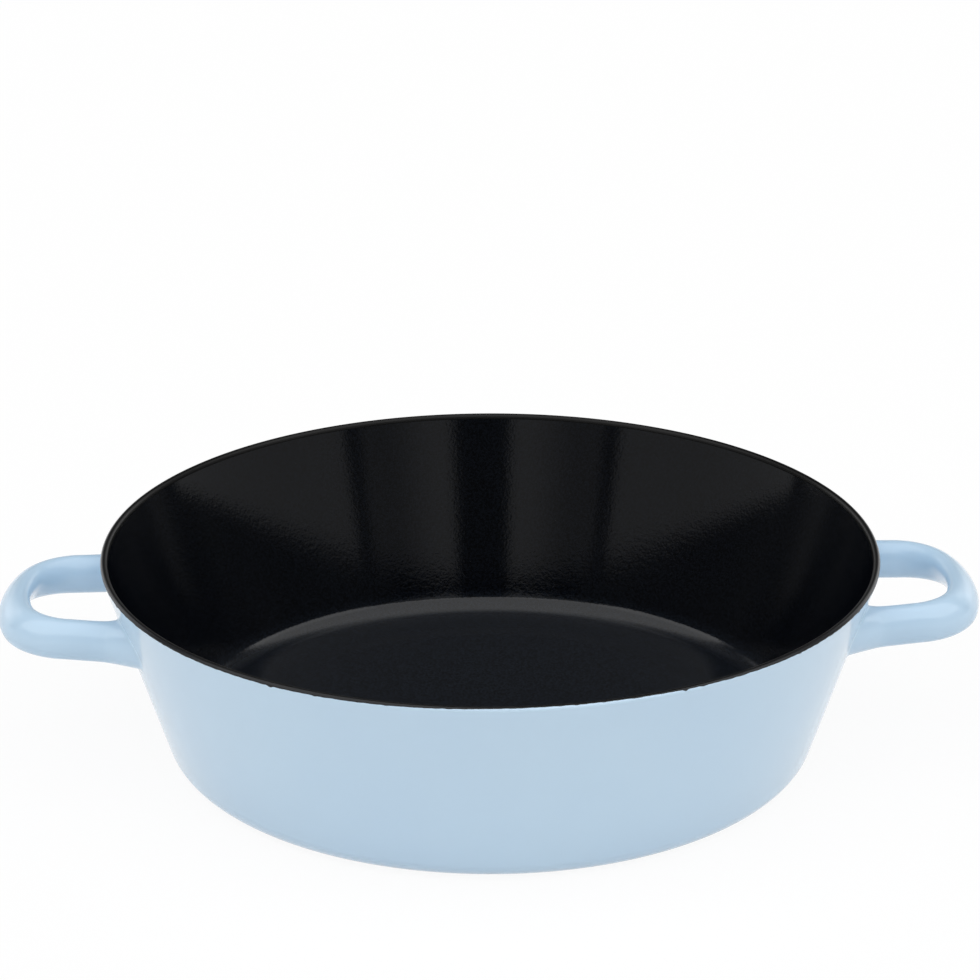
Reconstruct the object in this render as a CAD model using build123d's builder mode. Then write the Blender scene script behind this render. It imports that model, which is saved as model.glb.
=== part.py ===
from build123d import *
import math
import os

os.makedirs("parts", exist_ok=True)

# A shallow two-handled pan: a drawn steel shell, two hollow steel handles welded to its wall,
# and coats of vitreous enamel. All sizes are in millimetres, +Z is up, the pan stands on Z = 0
# with its axis on Z, and its handles lie along X.

# The pan, over its enamel
rim_radius = 140.0  # outside of the rim
pan_height = 75.0  # standing face to the top of the rim
base_radius = 115.5  # where the straight wall would meet the standing face
corner_radius = 10.0  # outer bend from the base into the wall
base_crown = 0.8  # how far the middle of the base is raised
ring_width = 11.2  # flat ring that the pan stands on, up to the corner's bend
crown_run = 13.0  # width of the slope from the ring up to the raised middle

# Sheet and coats
steel_thickness = 1.8
enamel_thickness = 0.3
rim_bevel = 0.55  # short flat that eases each edge of the enamelled rim
rim_band_height = 1.6  # height of the dark band over the cut edge

# The handles, over their enamel
leg_half_width = 5.3  # oval section of the legs, across
leg_half_height = 7.3  # oval section of the legs, up and down
grip_half_width = 4.7  # oval section at the tip, across its narrow way
grip_half_height = 7.6  # oval section at the tip, along its broad way
grip_lean = 33.0  # how far the broad way leans towards the pan at the tip, degrees
handle_drop = 21.1
handle_projection = 38.1  # outside of the wall at that height, out to the tip of the centre line
station_inset = 11.3  # the same wall, in to the station at which the legs are given
handle_foot_spread = 33.6  # half the distance between the legs at that station
handle_rise_angle = 2.3  # upward tilt of the whole loop, degrees
leg_draw_angle = 7.2  # how far each leg leans inwards going out, degrees
handle_corner_radius = 20.9  # centre line of the two bends
handle_end_radius = 52.0  # centre line of the bowed end
handle_wall = 1.2  # thickness of the tube
section_spacing = 6.5  # largest step between the sections that shape the loop

# The widened feet of the handles; growths and drifts are for each unit of length
foot_length = 15.0  # from the foot station out to where the flare starts
foot_run_in = 6.0  # how far the flare runs on inwards past the station, before the wall cuts it
foot_width_growth = 0.42
foot_height_growth = 0.17
foot_side_drift = 0.21  # away from the other leg
foot_rise_drift = 0.17
weld_depth = 0.9  # bead between the steel wall and the end of the tube

# A hollow piece that is fired needs a way out for its air
vent_radius = 1.25

overrun = 3.0  # how far cutting bodies pass what they cut

# Slopes and places of the pan's wall, worked out from the sizes above
wall_slope = (rim_radius - base_radius) / pan_height
wall_stretch = math.hypot(1, wall_slope)
wall_lean = math.degrees(math.atan(wall_slope))
corner_centre = base_radius - corner_radius * (wall_stretch - wall_slope)
ring_radius = corner_centre - ring_width
crown_radius = ring_radius - crown_run
steel_inner_depth = enamel_thickness + steel_thickness
wall_thickness = steel_inner_depth + enamel_thickness
steel_top = pan_height - enamel_thickness
band_foot = pan_height - rim_band_height
steel_bevel = rim_bevel - enamel_thickness * (2 - math.sqrt(2))  # keeps the coat's thickness


def wall_radius(depth, height):
    """Radius of the wall's surface at a height, at a depth below the outer skin."""
    return base_radius - depth * wall_stretch + height * wall_slope


def base_line(depth):
    """Draw the base's line at a depth below the outer skin, from the axis to the corner."""
    middle = base_crown + depth
    Polyline((0, middle), (crown_radius, middle), (ring_radius, depth), (corner_centre, depth))


def wall_line(depth, top):
    """Draw the corner's arc and the wall's line up to a height, at a depth below the outer skin."""
    bend = corner_radius - depth
    CenterArc((corner_centre, corner_radius), bend, -90, 90 - wall_lean)
    bend_end = (corner_centre + bend / wall_stretch, corner_radius - bend * wall_slope / wall_stretch)
    Line(bend_end, (wall_radius(depth, top), top))


def shell_outline(outer_depth, inner_depth, top):
    """Draw the outline of the pan's half section between two depths, cut off level at the top."""
    base_line(outer_depth)
    wall_line(outer_depth, top)
    Line((wall_radius(outer_depth, top), top), (wall_radius(inner_depth, top), top))
    wall_line(inner_depth, top)
    base_line(inner_depth)
    Line((0, base_crown + inner_depth), (0, base_crown + outer_depth))


# The drawn steel sheet, with its cut edge eased
with BuildPart() as steel_pan_shell:
    with BuildSketch(Plane.XZ):
        with BuildLine():
            shell_outline(enamel_thickness, steel_inner_depth, steel_top)
        make_face()
        chamfer(vertices().sort_by(Axis.Y)[-2:], steel_bevel)
    revolve(axis=Axis.Z)

# The black coat over the inside, up to the band on the rim
with BuildPart() as inner_enamel:
    with BuildSketch(Plane.XZ):
        with BuildLine():
            shell_outline(steel_inner_depth, wall_thickness, band_foot)
        make_face()
    revolve(axis=Axis.Z)

# The dark band that wraps over the cut edge, both sides down to the band's foot
with BuildPart() as rim_enamel:
    with BuildSketch(Plane.XZ):
        with BuildLine():
            shell_outline(0, wall_thickness, pan_height)
        make_face()
        chamfer(vertices().sort_by(Axis.Y)[-2:], rim_bevel)
        with BuildSketch(mode=Mode.SUBTRACT):
            with BuildLine():
                shell_outline(enamel_thickness, steel_inner_depth, steel_top)
            make_face()
            chamfer(vertices().sort_by(Axis.Y)[-2:], steel_bevel)
        with Locations((rim_radius, pan_height)):
            Rectangle(rim_radius, 2 * rim_band_height, mode=Mode.INTERSECT)
    revolve(axis=Axis.Z)

# The coat under the base, which is what the pan stands on
with BuildPart() as base_enamel:
    with BuildSketch(Plane.XZ):
        with BuildLine():
            base_line(0)
            base_line(enamel_thickness)
            Line((corner_centre, 0), (corner_centre, enamel_thickness))
            Line((0, base_crown), (0, base_crown + enamel_thickness))
        make_face()
    revolve(axis=Axis.Z)


def wall_frustum(depth):
    """Make the solid that the leaning wall encloses at a depth, carried on well above the rim."""
    low, high = -overrun, 2 * pan_height
    with BuildPart() as frustum:
        with BuildSketch(Plane.XZ):
            with BuildLine():
                Polyline(
                    (0, low),
                    (wall_radius(depth, low), low),
                    (wall_radius(depth, high), high),
                    (0, high),
                    close=True,
                )
            make_face()
        revolve(axis=Axis.Z)
    return frustum.part


# The handle's centre line in its own tilted plane: x runs outwards from the pan's axis,
# y along the pan's side. A straight leg, a bend, the bowed end, and the same back again.
handle_foot_height = pan_height - handle_drop
handle_tip_reach = wall_radius(0, handle_foot_height) + handle_projection
handle_foot_reach = wall_radius(0, handle_foot_height) - station_inset
draw = math.radians(leg_draw_angle)
rise = math.radians(handle_rise_angle)
end_centre = handle_tip_reach - handle_end_radius
inner_line_reach = handle_foot_reach - handle_corner_radius * math.sin(draw)
inner_line_spread = handle_foot_spread - handle_corner_radius * math.cos(draw)
lever = (inner_line_reach - end_centre) * math.cos(draw) - inner_line_spread * math.sin(draw)
inner_distance = math.hypot(inner_line_reach - end_centre, inner_line_spread)
reach_squared = lever**2 - inner_distance**2 + (handle_end_radius - handle_corner_radius) ** 2
leg_length = math.sqrt(reach_squared) - lever
bend_reach = inner_line_reach + leg_length * math.cos(draw)
bend_spread = inner_line_spread - leg_length * math.sin(draw)
end_half_angle = math.atan2(bend_spread, bend_reach - end_centre)
bend_angle = math.radians(90) - draw - end_half_angle


def steps(length):
    """Evenly spaced shares of a stretch, as many as its length needs, without its start."""
    count = math.ceil(length / section_spacing)
    return [step / count for step in range(1, count + 1)]


def leg_place(travel):
    """Place on a leg's straight line, at a distance out from the foot station."""
    reach = handle_foot_reach + travel * math.cos(draw)
    return reach, handle_foot_spread - travel * math.sin(draw), draw


def half_loop():
    """Places (reach, spread, heading) along the centre line, from the flare of the leg to the tip."""
    places = [leg_place(foot_length)]
    straight = leg_length - foot_length
    places += [leg_place(foot_length + straight * share) for share in steps(straight)]
    for share in steps(handle_corner_radius * bend_angle):
        heading = draw + bend_angle * share
        reach = bend_reach + handle_corner_radius * math.sin(heading)
        places.append((reach, bend_spread + handle_corner_radius * math.cos(heading), heading))
    for share in steps(handle_end_radius * end_half_angle):
        heading = draw + bend_angle + end_half_angle * share
        reach = end_centre + handle_end_radius * math.sin(heading)
        places.append((reach, handle_end_radius * math.cos(heading), heading))
    return places


def handle_plane(side):
    """Tilted plane of a handle's centre line, on the +X or -X side of the pan."""
    x_axis = (side * math.cos(rise), 0, math.sin(rise))
    z_axis = (-side * math.sin(rise), 0, math.cos(rise))
    fall = math.tan(rise) * handle_foot_reach
    return Plane(origin=(0, 0, handle_foot_height - fall), x_dir=x_axis, z_dir=z_axis)


def section_plane(side, leg_side, place, run=0):
    """Plane of the oval section at a place: x across the narrow way, y along the broad way."""
    plane = handle_plane(side)
    reach, spread, heading = place
    way = plane.x_dir * math.cos(heading) - plane.y_dir * (leg_side * math.sin(heading))
    outwards = plane.x_dir * math.sin(heading) + plane.y_dir * (leg_side * math.cos(heading))
    lean = math.radians(grip_lean) * math.sin(heading)
    narrow_way = outwards * math.cos(lean) + plane.z_dir * math.sin(lean)
    drift = outwards * (run * foot_side_drift) + plane.z_dir * (run * foot_rise_drift)
    centre = plane.from_local_coords((reach, leg_side * spread, 0)) + drift
    return Plane(origin=centre, x_dir=narrow_way, z_dir=way * leg_side)


def half_sizes(place, inset, run=0):
    """Half the width and half the height of the oval section at a place, below the outer skin."""
    grip_share = math.sin(place[2]) ** 2
    half_width = leg_half_width + (grip_half_width - leg_half_width) * grip_share
    half_height = leg_half_height + (grip_half_height - leg_half_height) * grip_share
    return half_width - inset + run * foot_width_growth, half_height - inset + run * foot_height_growth


def handle_foot(side, leg_side, inset):
    """Make one foot: widening from the leg's section, on inwards through the pan's wall."""
    outer_end = leg_place(foot_length)
    inner_end = leg_place(-foot_run_in)
    with BuildPart() as foot:
        for place, run in ((outer_end, 0), (inner_end, foot_length + foot_run_in)):
            with BuildSketch(section_plane(side, leg_side, place, run)):
                Ellipse(*half_sizes(place, inset, run))
        loft(ruled=True)
    return foot.part


def handle_rod(side, inset):
    """Make a handle as a solid rod with flared feet, its surface an inset below the outer skin."""
    half = half_loop()
    loop = [(1, place) for place in half] + [(-1, place) for place in half[-2::-1]]
    with BuildPart() as rod:
        for leg_side, place in loop:
            with BuildSketch(section_plane(side, leg_side, place)):
                Ellipse(*half_sizes(place, inset))
        loft()
        add(handle_foot(side, 1, inset))
        add(handle_foot(side, -1, inset))
    return rod.part


def vent(side):
    """Make the drill for a handle's air hole, straight down at the tip of its centre line."""
    plane = handle_plane(side)
    tip = plane.from_local_coords((handle_tip_reach, 0, 0))
    with BuildPart() as drill:
        with BuildSketch(Plane(origin=tip, x_dir=plane.y_dir, z_dir=-plane.z_dir)):
            Circle(vent_radius)
        extrude(amount=grip_half_height + overrun)
    return drill.part


skin_frustum = wall_frustum(0)
steel_frustum = wall_frustum(enamel_thickness)
tube_end_frustum = wall_frustum(enamel_thickness - weld_depth)
with BuildPart() as weld_zone:
    add(tube_end_frustum)
    add(steel_frustum, mode=Mode.SUBTRACT)

# Each handle: the hollow tube, the bead round each of its feet, and the coat over it
made = [
    ("steel_pan_shell", steel_pan_shell.part),
    ("inner_enamel", inner_enamel.part),
    ("rim_enamel", rim_enamel.part),
    ("base_enamel", base_enamel.part),
]
feet = []
for side_name, side in (("left", -1), ("right", 1)):
    coated_rod = handle_rod(side, 0)
    steel_rod = handle_rod(side, enamel_thickness)
    bore_rod = handle_rod(side, enamel_thickness + handle_wall)
    drill = vent(side)

    with BuildPart() as handle_tube:
        add(steel_rod)
        add(bore_rod, mode=Mode.SUBTRACT)
        add(tube_end_frustum, mode=Mode.SUBTRACT)
        add(drill, mode=Mode.SUBTRACT)
    made.append((f"{side_name}_handle_tube", handle_tube.part))

    for leg_name, leg_side in (("front", -side), ("rear", side)):
        steel_foot = handle_foot(side, leg_side, enamel_thickness)
        bore_foot = handle_foot(side, leg_side, enamel_thickness + handle_wall)
        feet.append(steel_foot)
        with BuildPart() as weld:
            add(steel_foot)
            add(bore_foot, mode=Mode.SUBTRACT)
            add(weld_zone.part, mode=Mode.INTERSECT)
        made.append((f"{side_name}_{leg_name}_weld", weld.part))

    with BuildPart() as handle_coat:
        add(coated_rod)
        add(steel_rod, mode=Mode.SUBTRACT)
        add(skin_frustum, mode=Mode.SUBTRACT)
        add(drill, mode=Mode.SUBTRACT)
    made.append((f"{side_name}_handle_enamel", handle_coat.part))

# The blue coat on the wall, left open where the handles' feet are welded on
with BuildPart() as outer_enamel:
    with BuildSketch(Plane.XZ):
        with BuildLine():
            wall_line(0, band_foot)
            wall_line(enamel_thickness, band_foot)
            Line((wall_radius(0, band_foot), band_foot), (wall_radius(enamel_thickness, band_foot), band_foot))
            Line((corner_centre, 0), (corner_centre, enamel_thickness))
        make_face()
    revolve(axis=Axis.Z)
    for foot in feet:
        add(foot, mode=Mode.SUBTRACT)
made.append(("outer_enamel", outer_enamel.part))

for name, piece in made:
    piece.label = name
    export_step(piece, f"parts/{name}.step")
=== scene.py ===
"""A shallow enamelled steel pan with two loop handles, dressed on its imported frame.

Lengths are in metres, +Z is up, and the handles lie along X. The coats are modelled
here as closed meshes; the steel under them is the frame's own.
"""
import logging
import math
import random
from dataclasses import dataclass
from enum import Enum

import bmesh
import bpy
from mathutils import Matrix, Vector, noise


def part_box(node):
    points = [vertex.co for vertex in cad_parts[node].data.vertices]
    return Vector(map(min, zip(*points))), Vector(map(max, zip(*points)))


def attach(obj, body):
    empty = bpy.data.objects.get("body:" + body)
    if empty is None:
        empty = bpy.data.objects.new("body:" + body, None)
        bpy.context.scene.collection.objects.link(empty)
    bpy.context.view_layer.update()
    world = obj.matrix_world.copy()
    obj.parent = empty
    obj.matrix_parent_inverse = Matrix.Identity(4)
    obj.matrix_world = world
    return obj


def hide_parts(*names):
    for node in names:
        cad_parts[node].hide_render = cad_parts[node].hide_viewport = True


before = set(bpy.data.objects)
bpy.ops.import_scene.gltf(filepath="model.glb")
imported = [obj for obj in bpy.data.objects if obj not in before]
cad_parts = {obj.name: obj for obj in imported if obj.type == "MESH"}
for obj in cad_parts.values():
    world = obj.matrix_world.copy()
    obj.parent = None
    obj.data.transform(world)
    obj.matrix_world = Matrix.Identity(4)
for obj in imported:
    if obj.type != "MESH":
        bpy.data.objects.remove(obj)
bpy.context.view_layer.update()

MM = 0.001
JOIN_REACH = 0.001 * MM
CREASE_ANGLE = math.radians(38)
LOG = logging.getLogger("pan")
Point = tuple[float, float]
Tone = tuple[float, float, float]


class Side(Enum):
    """The two ends of the pan that carry a handle."""

    LEFT = -1
    RIGHT = 1

    @property
    def word(self) -> str:
        """The side's name in the frame's node names."""
        return self.name.lower()


class Leg(Enum):
    """The two legs of a handle, by the way their spread goes in the handle's own plane."""

    FIRST = 1
    SECOND = -1


# Modelling steps that every piece uses


def clear_selection() -> None:
    """Leave edit mode and deselect everything."""
    if bpy.context.mode != "OBJECT":
        bpy.ops.object.mode_set(mode="OBJECT")
    bpy.ops.object.select_all(action="DESELECT")


def finish_piece(piece: bpy.types.Object, name: str, material: bpy.types.Material) -> None:
    """Name a piece, shade it smooth and give it its finish.

    Args:
        piece: The modelled object, in object mode.
        name: The piece's name in the table.
        material: The finish of its whole surface.
    """
    clear_selection()
    piece.name = name
    piece.data.name = name
    bpy.context.view_layer.objects.active = piece
    piece.select_set(True)
    bpy.ops.object.shade_smooth_by_angle(angle=CREASE_ANGLE)
    piece.data.materials.clear()
    piece.data.materials.append(material)


def turn_outline(outline: list[Point], around: int) -> bpy.types.Object:
    """Turn a closed outline about the upright axis into a closed shell.

    Args:
        outline: Points (radius, height) round the section, the last one joining the first.
        around: Number of steps round the axis.

    Returns:
        The new mesh object, in object mode.
    """
    clear_selection()
    bpy.ops.mesh.primitive_plane_add(size=MM)
    piece = bpy.context.active_object
    bpy.ops.object.mode_set(mode="EDIT")
    bpy.ops.mesh.merge(type="CENTER")
    start = outline[0]
    bpy.ops.transform.translate(value=(start[0], 0, start[1]))
    for here, there in zip(outline, outline[1:] + outline[:1]):
        step = (there[0] - here[0], 0, there[1] - here[1])
        bpy.ops.mesh.extrude_region_move(TRANSFORM_OT_translate={"value": step})
    join_doubles()
    bpy.ops.object.mode_set(mode="OBJECT")
    turn = piece.modifiers.new("turn", "SCREW")
    turn.steps = around
    turn.render_steps = around
    turn.use_merge_vertices = True
    turn.merge_threshold = JOIN_REACH
    bpy.ops.object.modifier_apply(modifier=turn.name)
    bpy.ops.object.mode_set(mode="EDIT")
    join_doubles()
    bpy.ops.mesh.select_all(action="SELECT")
    bpy.ops.mesh.normals_make_consistent(inside=False)
    bpy.ops.object.mode_set(mode="OBJECT")
    return piece


def join_doubles() -> None:
    """Merge the vertices of the mesh in edit mode that lie on one place."""
    bpy.ops.mesh.select_all(action="SELECT")
    bpy.ops.mesh.remove_doubles(threshold=JOIN_REACH)


def smooth_share(value: float, low: float, high: float) -> float:
    """Share from 0 at low to 1 at high, easing in and out."""
    share = min(1.0, max(0.0, (value - low) / (high - low)))
    return share * share * (3 - 2 * share)


def ease_past(run: float, rounding: float) -> float:
    """A run that starts softly: about zero before its start and about the run itself after."""
    return (math.hypot(run, rounding) + run) / 2


def about(centre: Point, polar: list[Point]) -> list[Point]:
    """Place points that are given by their reach and angle about a centre.

    Args:
        centre: The centre (radius, height).
        polar: The points' reaches and angles above the level.

    Returns:
        Points (radius, height).
    """
    return [(centre[0] + reach * math.cos(a), centre[1] + reach * math.sin(a)) for reach, a in polar]


# The round pan: its shared sizes and the coats on it


@dataclass
class PanShape:
    """The pan's section, over its enamel.

    Attributes:
        rim_radius: Where the straight wall would meet the level of the rim.
        base_radius: Where the straight wall would meet the standing face.
        corner_radius: Outer bend from the base into the wall.
        base_crown: How far the middle of the base is raised.
        ring_width: Flat ring that the pan stands on.
        crown_run: Width of the slope from the ring up to the raised middle.
        steel: Thickness of the sheet.
        coat: Thickness of each enamel coat.
        corner_swell: How far the coats swell over the sheet's eased corner at the rim.
        swell_rise: Angle over which that swell grows, from where the wall ends.
        swell_end: Angles above the level between which it fades away again.
        flat_steps: Steps over the raised middle of the base.
        slope_steps: Steps over the slope beside it.
        ring_steps: Steps over the flat ring.
    """

    rim_radius: float = 140 * MM
    base_radius: float = 115.5 * MM
    corner_radius: float = 10 * MM
    base_crown: float = 0.8 * MM
    ring_width: float = 11.2 * MM
    crown_run: float = 13 * MM
    steel: float = 1.8 * MM
    coat: float = 0.3 * MM
    corner_swell: float = 0.06 * MM
    swell_rise: float = math.radians(30)
    swell_end: tuple[float, float] = (math.radians(75), math.radians(130))
    flat_steps: int = 8
    slope_steps: int = 14
    ring_steps: int = 3

    def __post_init__(self) -> None:
        """Take the height from the frame and work out the slopes."""
        self.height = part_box("rim_enamel")[1].z
        self.slope = (self.rim_radius - self.base_radius) / self.height
        self.stretch = math.hypot(1, self.slope)
        self.lean = math.atan(self.slope)
        self.corner_centre = self.base_radius - self.corner_radius * (self.stretch - self.slope)
        self.ring_radius = self.corner_centre - self.ring_width
        self.thickness = self.steel + 2 * self.coat

    def wall_radius(self, depth: float, height: float) -> float:
        """Radius of the wall at a height, at a depth below the outer skin."""
        return self.base_radius - depth * self.stretch + height * self.slope

    def base_line(self, depth: float) -> list[Point]:
        """Points of the base's line from the middle out to the corner's bend.

        Args:
            depth: How far below the outer skin the line runs.

        Returns:
            Points (radius, height).
        """
        crown_radius = self.ring_radius - self.crown_run
        flat, slope, ring = self.flat_steps, self.slope_steps, self.ring_steps
        radii = [crown_radius * i / flat for i in range(flat)]
        radii += [crown_radius + self.crown_run * i / slope for i in range(slope + 1)]
        radii += [self.ring_radius + self.ring_width * i / ring for i in range(1, ring + 1)]
        rise = self.base_crown
        return [(r, depth + rise * (1 - smooth_share(r, crown_radius, self.ring_radius))) for r in radii]

    def corner_line(self, depth: float, steps: int = 16) -> list[Point]:
        """Points of the corner's bend from the base up to where the wall starts."""
        bend = self.corner_radius - depth
        turn = math.pi / 2 - self.lean
        polar = [(bend, -math.pi / 2 + turn * i / steps) for i in range(steps + 1)]
        return about((self.corner_centre, self.corner_radius), polar)

    def wall_line(self, depth: float, top: float, steps: int = 30) -> list[Point]:
        """Points of the straight wall from the corner's bend up to a height."""
        foot = self.corner_line(depth)[-1][1]
        heights = [foot + (top - foot) * i / steps for i in range(1, steps + 1)]
        return [(self.wall_radius(depth, z), z) for z in heights]

    def round_edge(self, proud: float) -> tuple[Point, float]:
        """Centre and radius of the rounded rim, whose skin stands proud of the wall's."""
        radius = self.thickness / 2
        height = self.height - radius
        return (self.wall_radius(radius, height), height), radius + proud

    def edge_swell(self, angle: float) -> float:
        """How far the coats swell over the steel's eased outer corner.

        Args:
            angle: Place on the rounded edge, above the level.

        Returns:
            The swell beyond the edge's radius.
        """
        gain = smooth_share(angle + self.lean, 0.0, self.swell_rise)
        loss = smooth_share(angle, *self.swell_end)
        return self.corner_swell * gain * (1.0 - loss)


@dataclass
class WallCoat:
    """The coloured coat on the outside, from the base's corner up over the rim's shoulder.

    Attributes:
        pan: The pan that it lies on.
        around: Steps round the pan.
        ripple: How far its skin undulates.
        ripple_length: Distance over which it does.
        ripple_fade: How far below the rim the undulation starts and is full.
        lap_angle: Where it ends on the rim's rounding, above the level.
        lap_steps: Steps over that rounding.
    """

    pan: PanShape
    around: int = 400
    ripple: float = 0.035 * MM
    ripple_length: float = 26 * MM
    ripple_fade: tuple[float, float] = (2 * MM, 12 * MM)
    lap_angle: float = math.radians(82)
    lap_steps: int = 12

    def outline(self) -> list[Point]:
        """Section of the coat: out along the skin and back along the steel."""
        pan = self.pan
        centre, radius = pan.round_edge(0)
        span = self.lap_angle + pan.lean
        shoulder = [-pan.lean + span * i / self.lap_steps for i in range(self.lap_steps + 1)]
        skin = about(centre, [(radius + pan.edge_swell(a), a) for a in shoulder])
        outer = pan.corner_line(0) + pan.wall_line(0, skin[0][1])[:-1] + skin
        back = about(centre, [(radius - pan.coat, a) for a in shoulder])
        inner = pan.corner_line(pan.coat) + pan.wall_line(pan.coat, back[0][1])[:-1] + back
        return outer + inner[::-1]

    def build(self, finish: bpy.types.Material) -> bpy.types.Object:
        """Model the coat and hide the frame's plain one.

        Args:
            finish: Its enamel.

        Returns:
            The piece.
        """
        piece = turn_outline(self.outline(), self.around)
        for vertex in piece.data.vertices:
            place = vertex.co
            flat = Vector((place.x, place.y, 0))
            away = flat.length - self.pan.wall_radius(self.pan.coat / 2, place.z)
            if away > 0 and place.z > self.pan.corner_radius:
                wave = noise.noise(place / self.ripple_length)
                fade = smooth_share(self.pan.height - place.z, *self.ripple_fade)
                vertex.co += flat.normalized() * (wave * fade * self.ripple)
        finish_piece(piece, "wall_coat", finish)
        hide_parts("outer_enamel")
        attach(piece, "root")
        return piece


@dataclass
class InnerCoat:
    """The dark coat inside, from the middle of the floor up to the rim's band.

    Attributes:
        pan: The pan that it lies in.
        around: Steps round the pan.
    """

    pan: PanShape
    around: int = 360

    def build(self, finish: bpy.types.Material) -> bpy.types.Object:
        """Model the coat and hide the frame's plain one.

        Args:
            finish: Its enamel.

        Returns:
            The piece.
        """
        pan = self.pan
        skin = pan.thickness
        back = skin - pan.coat
        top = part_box("inner_enamel")[1].z
        face = pan.base_line(skin) + pan.corner_line(skin)[1:] + pan.wall_line(skin, top)
        rear = pan.base_line(back) + pan.corner_line(back)[1:] + pan.wall_line(back, top)
        piece = turn_outline(face + rear[::-1], self.around)
        finish_piece(piece, "inner_coat", finish)
        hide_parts("inner_enamel")
        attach(piece, "root")
        return piece


@dataclass
class BaseCoat:
    """The thin ground coat under the base, which the pan stands on.

    Attributes:
        pan: The pan that it lies under.
        around: Steps round the pan.
    """

    pan: PanShape
    around: int = 240

    def build(self, finish: bpy.types.Material) -> bpy.types.Object:
        """Model the coat and hide the frame's plain one.

        Args:
            finish: Its enamel.

        Returns:
            The piece.
        """
        face = self.pan.base_line(0)
        rear = self.pan.base_line(self.pan.coat)
        piece = turn_outline(face + rear[::-1], self.around)
        finish_piece(piece, "base_coat", finish)
        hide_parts("base_enamel")
        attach(piece, "root")
        return piece


@dataclass
class RimBand:
    """The dark enamel over the cut edge, with its hand-brushed lower edge and small runs.

    Attributes:
        pan: The pan that it edges.
        around: Steps round the rim.
        proud: How far its skin stands over the coats beside it.
        low_lap: Where on the outer shoulder its edge lies round most of the pan, above the level.
        high_lap: Where it lies on its highest stretch.
        high_place: Where round the rim that stretch is, from the front.
        high_spread: How far that stretch reaches to each side.
        waver: How far that edge wanders.
        wear_length: Distance over which it does.
        fine_waver: Share and frequency of the finer wandering on top.
        run_angles: Where the larger runs hang down, in degrees from the front.
        run_length: How far a larger run hangs down.
        run_half_width: Half the width of a run.
        small_runs: Number of smaller runs.
        small_run_sizes: Least and most size of these against a larger run.
        run_seed: Seed of their places.
        lip_sink: How far the lip's foot is sunk below the coat beside it.
        lip_dip: How far the lip's middle stays below the band's skin, as a share of its stand.
        lip_angles: Angles above the lip's foot at which its middle and its top lie.
        over_steps: Steps of the skin over the edge.
        under_steps: Steps of the surface under it.
        skirt: How far below the rim the band stays proud on the inside.
        skirt_foot: How far above its lower end the thinning on the inside begins.
        skirt_tuck: How far below its lower end the band is tucked under the inner coat.
        slack: Small angle that keeps the band's ends off the ends of its range.
    """

    pan: PanShape
    around: int = 1800
    proud: float = 0.035 * MM
    low_lap: float = math.radians(1)
    high_lap: float = math.radians(53)
    high_place: float = math.radians(9)
    high_spread: float = math.radians(25)
    waver: float = 0.13 * MM
    wear_length: float = 2.6 * MM
    fine_waver: tuple[float, float] = (0.3, 2.3)
    run_angles: tuple[float, ...] = (-34.2, 24.9, -71.0, 63.5, 118.0, -140.0, 171.0)
    run_length: float = 0.55 * MM
    run_half_width: float = 0.85 * MM
    small_runs: int = 26
    small_run_sizes: tuple[float, float] = (0.2, 0.5)
    run_seed: int = 7
    lip_sink: float = 0.02 * MM
    lip_dip: float = 0.3
    lip_angles: tuple[float, float] = (0.06, 0.15)
    over_steps: int = 22
    under_steps: int = 8
    skirt: float = 1.2 * MM
    skirt_foot: float = 0.1 * MM
    skirt_tuck: float = 0.15 * MM
    slack: float = 0.01

    def outline(self) -> list[Point]:
        """Section of the band.

        Returns:
            The points, from the outer edge over the top to the inner edge and back under the skin.
        """
        pan = self.pan
        centre, radius = pan.round_edge(self.proud)
        start = self.low_lap
        end = math.pi - pan.lean
        middle, top = (start + angle for angle in self.lip_angles)
        lip = [(radius - self.proud - self.lip_sink, start), (radius - self.lip_dip * self.proud, middle)]
        steps = self.over_steps
        over = [(radius, top + (end - top) * i / steps) for i in range(steps + 1)]
        ring = about(centre, [(reach + pan.edge_swell(a), a) for reach, a in lip + over])
        return ring + self.inside_line() + self.under_line(centre, radius - self.proud - pan.coat)

    def inside_line(self) -> list[Point]:
        """The band's stretch down the inside of the wall and back to the steel."""
        pan = self.pan
        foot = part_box("rim_enamel")[0].z
        tuck = foot - self.skirt_tuck
        heights = (pan.height - self.skirt, foot + self.skirt_foot)
        line = [(pan.wall_radius(pan.thickness + self.proud, z), z) for z in heights]
        line += [(pan.wall_radius(pan.thickness - self.lip_sink, tuck), tuck)]
        return line + [(pan.wall_radius(pan.thickness - pan.coat, foot), foot)]

    def under_line(self, centre: Point, reach: float) -> list[Point]:
        """The band's surface against the steel, from the inside back to the lip."""
        end = math.pi - self.pan.lean
        steps = self.under_steps
        return about(centre, [(reach, end - (end - self.low_lap) * i / steps) for i in range(steps + 1)])

    def runs(self) -> list[Point]:
        """Places round the rim where a run hangs down, each with its size."""
        dice = random.Random(self.run_seed)
        small = [
            (dice.uniform(-math.pi, math.pi), dice.uniform(*self.small_run_sizes))
            for _ in range(self.small_runs)
        ]
        return [(math.radians(a), 1.0) for a in self.run_angles] + small

    def edge_angle(self, around: float, runs: list[Point]) -> float:
        """Where the band's outer edge lies on the shoulder.

        Args:
            around: Place round the rim, from the front.
            runs: The places and sizes of the runs.

        Returns:
            The angle above the level.
        """
        away = (around - self.high_place) / self.high_spread
        lap = self.low_lap + (self.high_lap - self.low_lap) * math.exp(-away * away)
        along = Vector((math.cos(around), math.sin(around), 0)) * (self.pan.rim_radius / self.wear_length)
        fine_share, fine_rate = self.fine_waver
        drop = self.waver * (noise.noise(along) + fine_share * noise.noise(along * fine_rate))
        for run_angle, size in runs:
            gap = math.remainder(around - run_angle, math.tau) * self.pan.rim_radius
            drop += size * self.run_length * math.exp(-((gap / self.run_half_width) ** 2))
        return lap - drop / (self.pan.thickness / 2)

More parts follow.
